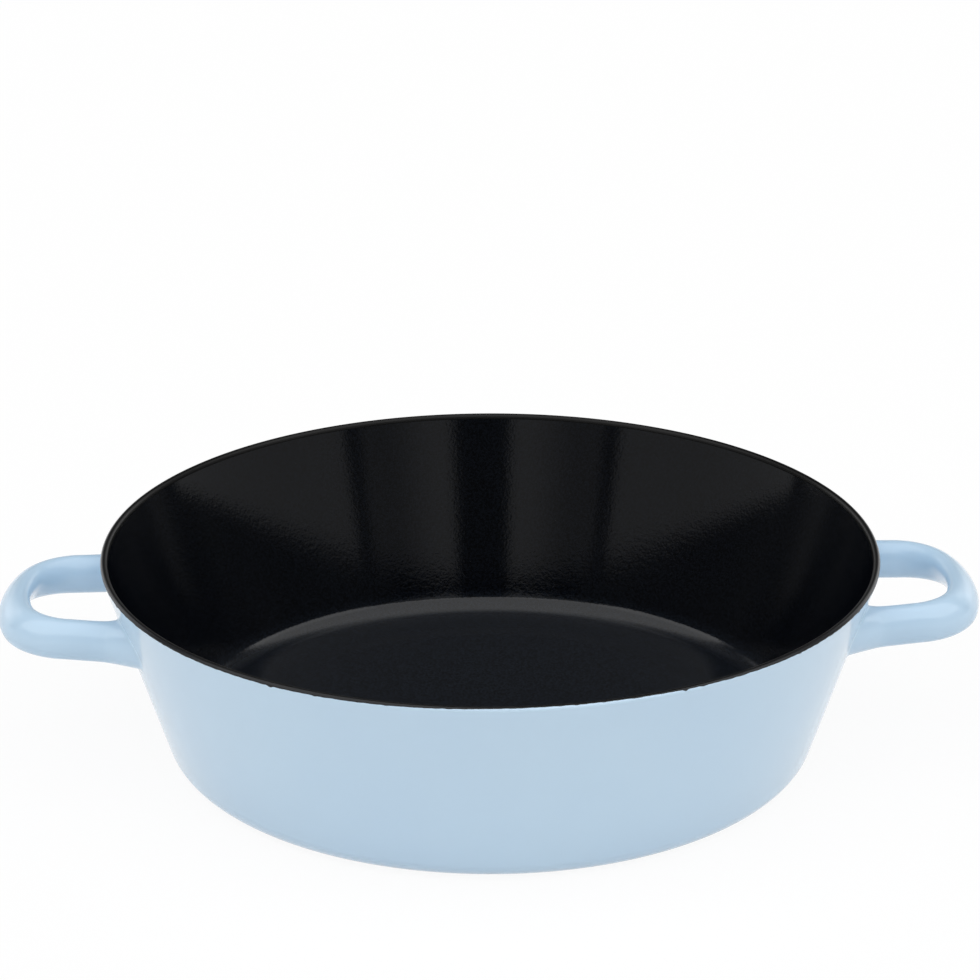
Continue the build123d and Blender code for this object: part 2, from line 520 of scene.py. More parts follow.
    def build(self, finish: bpy.types.Material) -> bpy.types.Object:
        """Model the band and hide the frame's plain one.

        Args:
            finish: Its enamel.

        Returns:
            The piece.
        """
        pan = self.pan
        piece = turn_outline(self.outline(), self.around)
        centre, radius = pan.round_edge(0)
        end = math.pi - pan.lean
        runs = self.runs()
        for vertex in piece.data.vertices:
            place = vertex.co
            out = math.hypot(place.x, place.y)
            across, rise = out - centre[0], place.z - centre[1]
            reach, angle = math.hypot(across, rise), math.atan2(rise, across)
            if not self.low_lap - self.slack < angle < end or reach > 2 * radius:
                continue
            around = math.atan2(place.x, -place.y)
            start = max(self.edge_angle(around, runs), self.slack - pan.lean)
            share = (end - angle) / (end - self.low_lap)
            angle = end - share * (end - start)
            scale = (centre[0] + reach * math.cos(angle)) / out
            vertex.co = (place.x * scale, place.y * scale, centre[1] + reach * math.sin(angle))
        finish_piece(piece, "rim_band", finish)
        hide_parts("rim_enamel")
        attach(piece, "root")
        return piece


# The loop handles


@dataclass
class Place:
    """A station on a handle's centre line, in the handle's own plane.

    Attributes:
        leg: The half of the loop it lies on.
        reach: Distance out from the pan's axis.
        spread: Distance from the handle's middle line.
        heading: How far the line has turned from straight outwards.
        run: How far it lies inside the start of the foot's flare.
    """

    leg: Leg
    reach: float
    spread: float
    heading: float
    run: float = 0.0


@dataclass
class LoopHandle:
    """A hollow loop handle's coat, with its widened feet run out onto the wall.

    Attributes:
        pan: The pan that it is on.
        side: Which end of the pan it is on.
        around: Steps round its oval section.
        leg_half_width: Half the section's thickness on a leg.
        leg_half_height: Half the section's height on a leg.
        grip_half_width: Half its thickness at the tip.
        grip_half_height: Half its height at the tip.
        grip_lean: How far the section leans towards the pan at the tip.
        drop: How far below the rim its feet are centred.
        projection: How far its centre line reaches out from the wall.
        station_inset: How far inside the wall's skin its legs start.
        foot_spread: Half the distance between the starts of its legs.
        rise: How far it slopes up outwards.
        draw: How far each leg is drawn in outwards.
        corner_radius: Bend from a leg into the bowed end.
        end_radius: Radius of the bowed end.
        foot_length: Length of a foot's flare, from the leg's start.
        width_growth: How fast a foot thickens.
        height_growth: How fast it gets taller.
        side_drift: How fast it moves away from the handle's middle.
        rise_drift: How fast it moves up.
        flare_softness: How softly the flare starts.
        pool: Reach of the fillet that the coat pools into against the wall.
        pool_overrun: How far that fillet's edge runs on, along the wall and into it.
        ripple: How far the skin undulates.
        ripple_length: Distance over which it does.
        vent_radius: Radius of the air hole under the tip.
        vent_sides: Sides of the drill for it.
        leg_steps: Steps along the straight part of a leg.
        bend_steps: Steps round a bend.
        end_steps: Steps from a bend to the tip.
        foot_steps: Steps along a foot's flare.
        pool_steps: Steps over the fillet.
        search_depth: How far inside the leg's start the wall is looked for.
        search_halvings: How often the stretch to look in is halved.
    """

    pan: PanShape
    side: Side
    around: int = 72
    leg_half_width: float = 5.3 * MM
    leg_half_height: float = 7.3 * MM
    grip_half_width: float = 4.7 * MM
    grip_half_height: float = 7.6 * MM
    grip_lean: float = math.radians(33)
    drop: float = 21.1 * MM
    projection: float = 38.1 * MM
    station_inset: float = 11.3 * MM
    foot_spread: float = 33.6 * MM
    rise: float = math.radians(2.3)
    draw: float = math.radians(7.2)
    corner_radius: float = 20.9 * MM
    end_radius: float = 52 * MM
    foot_length: float = 15 * MM
    width_growth: float = 0.42
    height_growth: float = 0.17
    side_drift: float = 0.21
    rise_drift: float = 0.17
    flare_softness: float = 2.4 * MM
    pool: float = 1.1 * MM
    pool_overrun: tuple[float, float] = (0.3 * MM, 0.22 * MM)
    ripple: float = 0.045 * MM
    ripple_length: float = 9 * MM
    vent_radius: float = 1.25 * MM
    vent_sides: int = 32
    leg_steps: int = 9
    bend_steps: int = 16
    end_steps: int = 10
    foot_steps: int = 14
    pool_steps: int = 6
    search_depth: float = 8 * MM
    search_halvings: int = 40

    def __post_init__(self) -> None:
        """Work out where the legs, the bends and the bowed end meet."""
        wall = self.pan.wall_radius(0, self.pan.height - self.drop)
        self.foot_height = self.pan.height - self.drop
        self.foot_reach = wall - self.station_inset
        self.tip_reach = wall + self.projection
        self.end_centre = self.tip_reach - self.end_radius
        start_reach = self.foot_reach - self.corner_radius * math.sin(self.draw)
        start_spread = self.foot_spread - self.corner_radius * math.cos(self.draw)
        lever = (start_reach - self.end_centre) * math.cos(self.draw) - start_spread * math.sin(self.draw)
        distance = math.hypot(start_reach - self.end_centre, start_spread)
        gap = self.end_radius - self.corner_radius
        self.leg_length = math.sqrt(lever**2 - distance**2 + gap**2) - lever
        self.bend_reach = start_reach + self.leg_length * math.cos(self.draw)
        self.bend_spread = start_spread - self.leg_length * math.sin(self.draw)
        self.end_half_angle = math.atan2(self.bend_spread, self.bend_reach - self.end_centre)
        self.bend_angle = math.pi / 2 - self.draw - self.end_half_angle

    def leg_place(self, leg: Leg, travel: float) -> Place:
        """Station on a straight leg, at a travel outwards from its foot station."""
        reach = self.foot_reach + travel * math.cos(self.draw)
        spread = self.foot_spread - travel * math.sin(self.draw)
        return Place(leg, reach, spread, self.draw, self.foot_length - travel)

    def half_loop(self, leg: Leg) -> list[Place]:
        """Stations from the start of a leg's flare to the tip."""
        straight = self.leg_length - self.foot_length
        travels = [self.foot_length + straight * i / self.leg_steps for i in range(self.leg_steps + 1)]
        places = [self.leg_place(leg, travel) for travel in travels]
        for i in range(1, self.bend_steps + 1):
            heading = self.draw + self.bend_angle * i / self.bend_steps
            reach = self.bend_reach + self.corner_radius * math.sin(heading)
            spread = self.bend_spread + self.corner_radius * math.cos(heading)
            places.append(Place(leg, reach, spread, heading, -self.leg_length))
        for i in range(1, self.end_steps + 1):
            heading = self.draw + self.bend_angle + self.end_half_angle * i / self.end_steps
            reach = self.end_centre + self.end_radius * math.sin(heading)
            spread = self.end_radius * math.cos(heading)
            places.append(Place(leg, reach, spread, heading, -self.leg_length))
        return places

    def skin(self, place: Place, turn: float) -> Vector:
        """A point of the coat's skin.

        Args:
            place: The station on the centre line.
            turn: The angle round the oval section, from the side away from the middle.

        Returns:
            The point in the pan's frame.
        """
        side = self.side.value
        leg = place.leg.value * side
        out = Vector((side * math.cos(self.rise), 0, math.sin(self.rise)))
        up = Vector((-side * math.sin(self.rise), 0, math.cos(self.rise)))
        across = Vector((0, 1, 0))
        away = out * math.sin(place.heading) + across * (leg * math.cos(place.heading))
        lean = self.grip_lean * math.sin(place.heading)
        narrow = away * math.cos(lean) + up * math.sin(lean)
        broad = up * math.cos(lean) - away * math.sin(lean)
        grip = math.sin(place.heading) ** 2
        run = ease_past(place.run, self.flare_softness)
        half_width = self.leg_half_width + (self.grip_half_width - self.leg_half_width) * grip
        half_height = self.leg_half_height + (self.grip_half_height - self.leg_half_height) * grip
        half_width += run * self.width_growth
        half_height += run * self.height_growth
        base = Vector((0, 0, self.foot_height - math.tan(self.rise) * self.foot_reach))
        centre = base + out * place.reach + across * (leg * place.spread)
        centre += away * (run * self.side_drift) + up * (run * self.rise_drift)
        point = centre + narrow * (half_width * math.cos(turn)) + broad * (half_height * math.sin(turn))
        wave = noise.noise(point / self.ripple_length) * self.ripple
        return point + (point - centre).normalized() * wave

    def outside(self, point: Vector) -> float:
        """How far a point lies outside the wall's skin, measured level."""
        return math.hypot(point.x, point.y) - self.pan.wall_radius(0, point.z)

    def wall_travel(self, leg: Leg, turn: float) -> float:
        """Travel at which a line of the foot's skin meets the wall."""
        low, high = -self.search_depth, self.foot_length
        for _ in range(self.search_halvings):
            middle = (low + high) / 2
            if self.outside(self.skin(self.leg_place(leg, middle), turn)) > 0:
                high = middle
            else:
                low = middle
        return (low + high) / 2

    def foot_rings(self, leg: Leg, turns: list[float]) -> list[list[Vector]]:
        """Rings of the foot's skin, from under the wall's skin out to the start of the flare.

        Args:
            leg: Which leg's foot.
            turns: The angles round the section.

        Returns:
            The rings, each one point for each turn.
        """
        travels = [self.wall_travel(leg, turn) for turn in turns]
        edge = [self.skin(self.leg_place(leg, s), turn) for s, turn in zip(travels, turns)]
        middle = sum(edge, Vector()) / len(edge)
        lean = self.pan.lean
        along, into = self.pool_overrun
        rings: list[list[Vector]] = [[] for _ in range(self.pool_steps + 2)]
        for travel, turn, wall_point in zip(travels, turns, edge):
            level = Vector((wall_point.x, wall_point.y, 0)).normalized()
            normal = level * math.cos(lean) - Vector((0, 0, 1)) * math.sin(lean)
            spread = wall_point - middle
            spread -= normal * spread.dot(normal)
            spread.normalize()
            start = self.skin(self.leg_place(leg, travel + self.pool), turn)
            end = wall_point + spread * self.pool
            rings[0].append(end + spread * along - normal * into)
            for i in range(self.pool_steps + 1):
                share = 1 - i / self.pool_steps
                bent = start * (1 - share) ** 2 + wall_point * (2 * share * (1 - share)) + end * share**2
                rings[i + 1].append(bent)
        for i in range(1, self.foot_steps):
            ring = []
            for travel, turn in zip(travels, turns):
                first = travel + self.pool
                here = first + (self.foot_length - first) * i / self.foot_steps
                ring.append(self.skin(self.leg_place(leg, here), turn))
            rings.append(ring)
        return rings

    def rings(self, turns: list[float]) -> list[list[Vector]]:
        """All rings of the skin, from one foot round the loop to the other."""
        first = self.half_loop(Leg.FIRST)
        second = self.half_loop(Leg.SECOND)[:-1]
        rings = self.foot_rings(Leg.FIRST, turns)
        rings += [[self.skin(place, turn) for turn in turns] for place in first]
        rings += [[self.skin(place, turn) for turn in turns] for place in reversed(second)]
        return rings + self.foot_rings(Leg.SECOND, turns)[::-1]

    def build(self, finish: bpy.types.Material) -> bpy.types.Object:
        """Model the coat ring by ring, give it its thickness and bore its air hole.

        Args:
            finish: Its enamel.

        Returns:
            The piece.
        """
        turns = [math.tau * i / self.around for i in range(self.around)]
        rings = self.rings(turns)
        clear_selection()
        bpy.ops.mesh.primitive_circle_add(vertices=self.around, radius=self.leg_half_width)
        piece = bpy.context.active_object
        bpy.ops.object.mode_set(mode="EDIT")
        work = bmesh.from_edit_mesh(piece.data)
        layer = work.verts.layers.int.new("turn")
        work.verts.ensure_lookup_table()
        for vertex in work.verts:
            vertex[layer] = vertex.index
        bmesh.update_edit_mesh(piece.data)
        for count, ring in enumerate(rings):
            if count:
                bpy.ops.mesh.extrude_edges_move()
            work = bmesh.from_edit_mesh(piece.data)
            layer = work.verts.layers.int["turn"]
            for vertex in work.verts:
                if vertex.select:
                    vertex.co = ring[vertex[layer]]
            bmesh.update_edit_mesh(piece.data)
        bpy.ops.mesh.select_all(action="SELECT")
        bpy.ops.mesh.normals_make_consistent(inside=False)
        bpy.ops.object.mode_set(mode="OBJECT")
        self.thicken(piece)
        self.bore_vent(piece)
        finish_piece(piece, f"{self.side.word}_handle_coat", finish)
        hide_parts(f"{self.side.word}_handle_enamel")
        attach(piece, "root")
        return piece

    def thicken(self, piece: bpy.types.Object) -> None:
        """Give the open skin the coat's thickness, inwards."""
        wall = piece.modifiers.new("coat", "SOLIDIFY")
        wall.thickness = self.pan.coat
        wall.offset = -1
        bpy.context.view_layer.objects.active = piece
        bpy.ops.object.modifier_apply(modifier=wall.name)

    def bore_vent(self, piece: bpy.types.Object) -> None:
        """Cut the air hole through the coat under the handle's tip."""
        tip = Place(Leg.FIRST, self.tip_reach, 0, math.pi / 2, -self.leg_length)
        low = self.skin(tip, -math.pi / 2)
        high = self.skin(tip, math.pi / 2)
        clear_selection()
        bpy.ops.mesh.primitive_cylinder_add(
            vertices=self.vent_sides, radius=self.vent_radius, depth=self.grip_half_height
        )
        drill = bpy.context.active_object
        centre = Vector(((low.x + high.x) / 2, 0, low.z))
        drill.data.transform(Matrix.Translation(centre))
        cut = piece.modifiers.new("vent", "BOOLEAN")
        cut.operation = "DIFFERENCE"
        cut.solver = "EXACT"
        cut.object = drill
        clear_selection()
        bpy.context.view_layer.objects.active = piece
        bpy.ops.object.modifier_apply(modifier=cut.name)
        bpy.data.objects.remove(drill)


# Finishes

NOISE_ROUGHNESS = 0.55
NOISE_MIDDLE = (0.3, 0.7)
PITCH_BLACK: Tone = (0.0, 0.0, 0.0)


class Graph:
    """A small helper that adds nodes to a tree and joins them."""

    def __init__(self, tree: bpy.types.NodeTree) -> None:
        """Keep the tree and empty it."""
        self.tree = tree
        tree.nodes.clear()

    def add(self, kind: str, inputs: dict | None = None, **settings: object) -> bpy.types.Node:
        """Add a node.

        Args:
            kind: The node's type.
            inputs: Sockets by name or number, each given a value or another node's output.
            settings: The node's own properties.

        Returns:
            The node.
        """
        node = self.tree.nodes.new(kind)
        for name, value in settings.items():
            setattr(node, name, value)
        for name, value in (inputs or {}).items():
            self.join(node.inputs[name], value)
        return node

    def join(self, socket: bpy.types.NodeSocket, value: object) -> None:
        """Set a socket, or link it where the value is an output."""
        if isinstance(value, bpy.types.NodeSocket):
            self.tree.links.new(value, socket)
        else:
            socket.default_value = value

    def math(self, operation: str, *values: object) -> bpy.types.NodeSocket:
        """Output of a Math node over one or more values."""
        node = self.add("ShaderNodeMath", dict(enumerate(values)), operation=operation)
        return node.outputs[0]

    def ramp(
        self, value: object, low: float, high: float, start: object, end: object
    ) -> bpy.types.NodeSocket:
        """A value taken from one range to another, eased at both ends."""
        inputs = {0: value, 1: low, 2: high, 3: start, 4: end}
        node = self.add("ShaderNodeMapRange", inputs, interpolation_type="SMOOTHSTEP")
        return node.outputs[0]

    def mix(self, share: object, first: object, second: object) -> bpy.types.NodeSocket:
        """Mix two colours by a share."""
        node = self.add("ShaderNodeMix", {0: share, 6: first, 7: second}, data_type="RGBA")
        return node.outputs[2]

    def noise(self, place: object, scale: object, detail: float = 2.0) -> bpy.types.NodeSocket:
        """Value of a noise at a place."""
        inputs = {"Vector": place, "Scale": scale, "Detail": detail, "Roughness": NOISE_ROUGHNESS}
        return self.add("ShaderNodeTexNoise", inputs).outputs[0]


def with_alpha(tone: Tone) -> tuple[float, float, float, float]:
    """A colour socket's value from a tone."""
    return (*tone, 1.0)


def fired_surface_group() -> bpy.types.NodeTree:
    """Build the group for how a fired coat lies: soft ripple, fine grain and stray specks.

    Returns:
        The node group, with outputs Height, Tone, Grain and Specks.
    """
    ripple_detail, grain_detail = 1.0, 3.0
    rare_cells, speck_fade = (0.86, 0.97), 0.05
    starts = {
        "Ripple Scale": 90.0,
        "Grain Scale": 1800.0,
        "Grain Share": 0.2,
        "Patch Scale": 18.0,
        "Speck Scale": 260.0,
        "Speck Size": 0.06,
    }
    tree = bpy.data.node_groups.new("fired_surface", "ShaderNodeTree")
    for name, value in starts.items():
        socket = tree.interface.new_socket(name, in_out="INPUT", socket_type="NodeSocketFloat")
        socket.default_value = value
    for name in ("Height", "Tone", "Grain", "Specks"):
        tree.interface.new_socket(name, in_out="OUTPUT", socket_type="NodeSocketFloat")
    graph = Graph(tree)
    source = graph.add("NodeGroupInput").outputs
    place = graph.add("ShaderNodeTexCoord").outputs["Object"]
    ripple = graph.noise(place, source["Ripple Scale"], ripple_detail)
    grain = graph.noise(place, source["Grain Scale"], grain_detail)
    fine = graph.math("MULTIPLY", grain, source["Grain Share"])
    height = graph.math("ADD", ripple, fine)
    tone = graph.noise(place, source["Patch Scale"], grain_detail)
    cells = graph.add(
        "ShaderNodeTexVoronoi", {"Vector": place, "Scale": source["Speck Scale"], "Randomness": 1.0}
    )
    chosen = graph.add("ShaderNodeSeparateColor", {0: cells.outputs["Color"]}).outputs[0]
    rare = graph.ramp(chosen, *rare_cells, 0.0, 1.0)
    reach = graph.math("MULTIPLY", source["Speck Size"], rare)
    edge = graph.math("SUBTRACT", reach, cells.outputs["Distance"])
    specks = graph.ramp(edge, 0.0, speck_fade, 0.0, 1.0)
    graph.add("NodeGroupOutput", {"Height": height, "Tone": tone, "Grain": grain, "Specks": specks})
    return tree


@dataclass(frozen=True)
class Enamel:
    """A fired glass coat.

    Attributes:
        name: The material's name.
        tone: Its colour where the coat lies thick.
        thin_tone: Its colour where the coat lies thin.
        speck_tone: Colour of the stray specks in it.
        speck_size: Size of those specks, as a share of their cells.
        roughness: Least and most roughness over the surface.
        ripple_scale: Ripples for each metre.
        grain_scale: Grains for each metre.
        grain_share: Height of the grain against the ripple.
        bump: Strength of the surface's relief.
        relief: Height of the relief in metres.
        specular: How strongly it mirrors, 0.5 for common glass.
        speck_scale: Cells that may hold a speck, for each metre.
        floor_roughness: Roughness added where the coat lies level, by the floor.
        floor_level: Height below which it counts as the floor.
        floor_fade: Where that roughness is gone, as a multiple of that height.
        floor_tone: Colour on the floor and up the bend beside it, lighter than the coat: a painted sheen
            standing in for the grazing reflection of the light above.
        floor_sheen_fade: Where that painted sheen starts to fade and is gone, as multiples of that height.
        grain_depth: How much darker the deepest grains are.
        grain_range: Values of the grain's noise from the deepest to the highest grains.
        patch_range: Values of the patches' noise from the least to the most roughness.
        painted_shade_radius: Radius from the axis, inside which the coat is painted black as painted shade
            and made duller.
        painted_shade_fade: Width of the change at that radius.
        dull_roughness: Roughness added inside it.
    """

    name: str
    tone: Tone
    thin_tone: Tone
    speck_tone: Tone
    speck_size: float
    roughness: tuple[float, float]
    ripple_scale: float
    grain_scale: float
    grain_share: float
    bump: float
    relief: float
    specular: float = 0.5
    speck_scale: float = 260.0
    floor_roughness: float = 0.0
    floor_level: float = 0.0
    floor_fade: float = 2.2
    floor_tone: Tone = PITCH_BLACK
    floor_sheen_fade: tuple[float, float] = (2.0, 4.0)
    grain_depth: float = 0.0
    grain_range: tuple[float, float] = (0.35, 0.65)
    patch_range: tuple[float, float] = (0.25, 0.75)
    painted_shade_radius: float = 0.0
    painted_shade_fade: float = 0.6 * MM
    dull_roughness: float = 0.2

    def material(self, surface: bpy.types.NodeTree) -> bpy.types.Material:
        """Build the material.

        Args:
            surface: The shared group for how a fired coat lies.

        Returns:
            The material.
        """
        material = bpy.data.materials.new(self.name)
        material.use_nodes = True
        graph = Graph(material.node_tree)
        lie = graph.add("ShaderNodeGroup", node_tree=surface)
        lie.inputs["Ripple Scale"].default_value = self.ripple_scale
        lie.inputs["Grain Scale"].default_value = self.grain_scale
        lie.inputs["Grain Share"].default_value = self.grain_share
        lie.inputs["Speck Scale"].default_value = self.speck_scale
        lie.inputs["Speck Size"].default_value = self.speck_size
        share = graph.ramp(lie.outputs["Tone"], *NOISE_MIDDLE, 0.0, 1.0)
        body = graph.mix(share, with_alpha(self.tone), with_alpha(self.thin_tone))
        colour = graph.mix(lie.outputs["Specks"], body, with_alpha(self.speck_tone))
        roughness = graph.ramp(lie.outputs["Tone"], *self.patch_range, *self.roughness)
        # Painted sheen: the floor and the bend beside it get a lighter colour in place of the light above's
        # reflection, and more roughness.
        if self.floor_roughness:
            colour, roughness = self.floor_sheen_and_roughness(graph, colour, roughness)
        if self.grain_depth:
            deep = graph.ramp(lie.outputs["Grain"], *self.grain_range, self.grain_depth, 0.0)
            colour = graph.mix(deep, colour, with_alpha(PITCH_BLACK))
        # Painted shade: the inner half of the rim's rounding is blackened, and its roughness raised.
        if self.painted_shade_radius:
            colour, roughness = self.edge_shade_and_dulling(graph, colour, roughness)
        bump = graph.add("ShaderNodeBump", {"Height": lie.outputs["Height"]})
        bump.inputs["Strength"].default_value = self.bump
        bump.inputs["Distance"].default_value = self.relief
        shader = graph.add("ShaderNodeBsdfPrincipled", {"Base Color": colour, "Roughness": roughness})
        graph.join(shader.inputs["Normal"], bump.outputs[0])
        shader.inputs["Specular IOR Level"].default_value = self.specular
        graph.add("ShaderNodeOutputMaterial", {0: shader.outputs[0]})
        return material

    def floor_sheen_and_roughness(self, graph: Graph, colour: object, roughness: object) -> tuple[object, object]:
        """Paint a lighter sheen into the colour where the coat lies level, standing in for the reflection of
        the light above, and add roughness there.

        Args:
            graph: The material's graph.
            colour: The colour elsewhere.
            roughness: The roughness elsewhere.

        Returns:
            The new colour and roughness.
        """
        place = graph.add("ShaderNodeTexCoord").outputs["Object"]
        height = graph.add("ShaderNodeSeparateXYZ", {0: place}).outputs[2]
        level = self.floor_level
        more = graph.ramp(height, level, level * self.floor_fade, self.floor_roughness, 0.0)
        start, end = (level * share for share in self.floor_sheen_fade)
        # Painted sheen: share of the lighter floor colour, full on the floor and gone up the bend.
        low = graph.ramp(height, start, end, 1.0, 0.0)
        return graph.mix(low, colour, with_alpha(self.floor_tone)), graph.math("ADD", roughness, more)

    def edge_shade_and_dulling(self, graph: Graph, colour: object, roughness: object) -> tuple[object, object]:
        """Paint shade on the coat's inner side of a radius by blackening it, and make it duller there.

        Args:
            graph: The material's graph.
            colour: The colour elsewhere.
            roughness: The roughness elsewhere.

        Returns:
            The new colour and roughness.
        """
        place = graph.add("ShaderNodeTexCoord").outputs["Object"]
        parts = graph.add("ShaderNodeSeparateXYZ", {0: place}).outputs
        squares = [graph.math("MULTIPLY", part, part) for part in parts[:2]]
        reach = graph.math("SQRT", graph.math("ADD", *squares))
        # Painted shade: full inside the radius, gone just outside it.
        inside = graph.ramp(reach, self.painted_shade_radius, self.painted_shade_radius + self.painted_shade_fade, 1.0, 0.0)
        more = graph.math("MULTIPLY", inside, self.dull_roughness)
        return graph.mix(inside, colour, with_alpha(PITCH_BLACK)), graph.math("ADD", roughness, more)


@dataclass(frozen=True)
class Steel:
    """Bare low-carbon steel, with drawing marks or the blued scale of a weld.

    Attributes:
        name: The material's name.
        tone: Its colour between the marks.
        mark_tone: Its colour on the marks.
        roughness: Least and most roughness over the surface.
        mark_scale: Marks for each metre.
        mark_squeeze: How much closer the marks lie in height.
        mark_detail: Octaves in the marks.
        bump: Strength of the marks' relief.
        relief: Height of that relief.
    """

    name: str
    tone: Tone
    mark_tone: Tone
    roughness: tuple[float, float]
    mark_scale: float
    mark_squeeze: float = 12.0
    mark_detail: float = 4.0
    bump: float = 0.2
    relief: float = 0.05 * MM

    def material(self) -> bpy.types.Material:
        """Build the material."""
        material = bpy.data.materials.new(self.name)
        material.use_nodes = True
        graph = Graph(material.node_tree)
        place = graph.add("ShaderNodeTexCoord").outputs["Object"]
        squeeze = {"Vector": place, "Scale": (1.0, 1.0, self.mark_squeeze)}
        squeezed = graph.add("ShaderNodeMapping", squeeze).outputs[0]
        marks = graph.noise(squeezed, self.mark_scale, self.mark_detail)
        colour = graph.mix(marks, with_alpha(self.tone), with_alpha(self.mark_tone))
        roughness = graph.ramp(marks, *NOISE_MIDDLE, *self.roughness)
        bump = graph.add("ShaderNodeBump", {"Height": marks, "Strength": self.bump, "Distance": self.relief})
        shader = graph.add("ShaderNodeBsdfPrincipled", {"Base Color": colour, "Roughness": roughness})
        shader.inputs["Metallic"].default_value = 1.0
        graph.join(shader.inputs["Normal"], bump.outputs[0])
        graph.add("ShaderNodeOutputMaterial", {0: shader.outputs[0]})
        return material


BLUE_WALL = Enamel(
    name="blue_wall_enamel",
    tone=(0.497, 0.648, 0.788),
    thin_tone=(0.509, 0.66, 0.793),
    speck_tone=(0.40, 0.53, 0.66),
    speck_size=0.05,
    roughness=(0.075, 0.12),
    ripple_scale=120.0,
    grain_scale=900.0,
    grain_share=0.06,
    bump=0.35,
    relief=0.02 * MM,
)
BLUE_HANDLE = Enamel(
    name="blue_handle_enamel",
    tone=(0.468, 0.628, 0.778),
    thin_tone=(0.48, 0.64, 0.788),
    speck_tone=(0.40, 0.53, 0.66),
    speck_size=0.04,
    roughness=(0.06, 0.10),
    ripple_scale=160.0,
    grain_scale=900.0,
    grain_share=0.05,
    bump=0.35,
    relief=0.02 * MM,
)
BLACK_INSIDE = Enamel(
    name="black_inner_enamel",
    tone=(0.0027, 0.0037, 0.0060),
    thin_tone=(0.0037, 0.0048, 0.0074),
    speck_tone=(0.05, 0.052, 0.056),
    speck_size=0.10,
    roughness=(0.08, 0.11),
    ripple_scale=600.0,
    grain_scale=1150.0,
    grain_share=1.0,
    bump=1.0,
    relief=0.021 * MM,
    specular=0.36,
    speck_scale=900.0,
    floor_roughness=0.23,
    floor_level=2.8 * MM,
    # Painted sheen: this lighter floor colour stands in for the reflection of the light above.
    floor_tone=(0.0068, 0.0094, 0.0145),
    grain_depth=0.75,
)
RIM_BLACK = Enamel(
    name="rim_enamel",
    tone=(0.010, 0.0105, 0.012),
    thin_tone=(0.016, 0.0165, 0.018),
    speck_tone=(0.07, 0.07, 0.07),
    speck_size=0.03,
    roughness=(0.14, 0.22),
    ripple_scale=400.0,
    grain_scale=1500.0,
    grain_share=0.3,
    bump=0.4,
    relief=0.012 * MM,
    specular=0.24,
    speck_scale=500.0,
    # Painted shade: the band is blackened inside this radius, on the inner half of its rounding.
    painted_shade_radius=138.45 * MM,
)
GROUND_COAT = Enamel(
    name="ground_coat",
    tone=(0.012, 0.0125, 0.015),
    thin_tone=(0.022, 0.023, 0.027),
    speck_tone=(0.16, 0.17, 0.18),
    speck_size=0.12,
    roughness=(0.22, 0.34),
    ripple_scale=300.0,
    grain_scale=1400.0,
    grain_share=0.5,
    bump=0.5,
    relief=0.02 * MM,
    speck_scale=500.0,
)
SHEET_STEEL = Steel(
    name="sheet_steel",
    tone=(0.36, 0.36, 0.37),
    mark_tone=(0.46, 0.45, 0.44),
    roughness=(0.28, 0.45),
    mark_scale=220.0,
)
WELD_STEEL = Steel(
    name="weld_steel",
    tone=(0.22, 0.21, 0.22),
    mark_tone=(0.33, 0.30, 0.27),
    roughness=(0.35, 0.6),
    mark_scale=500.0,
)


# The studio: floor, light and camera


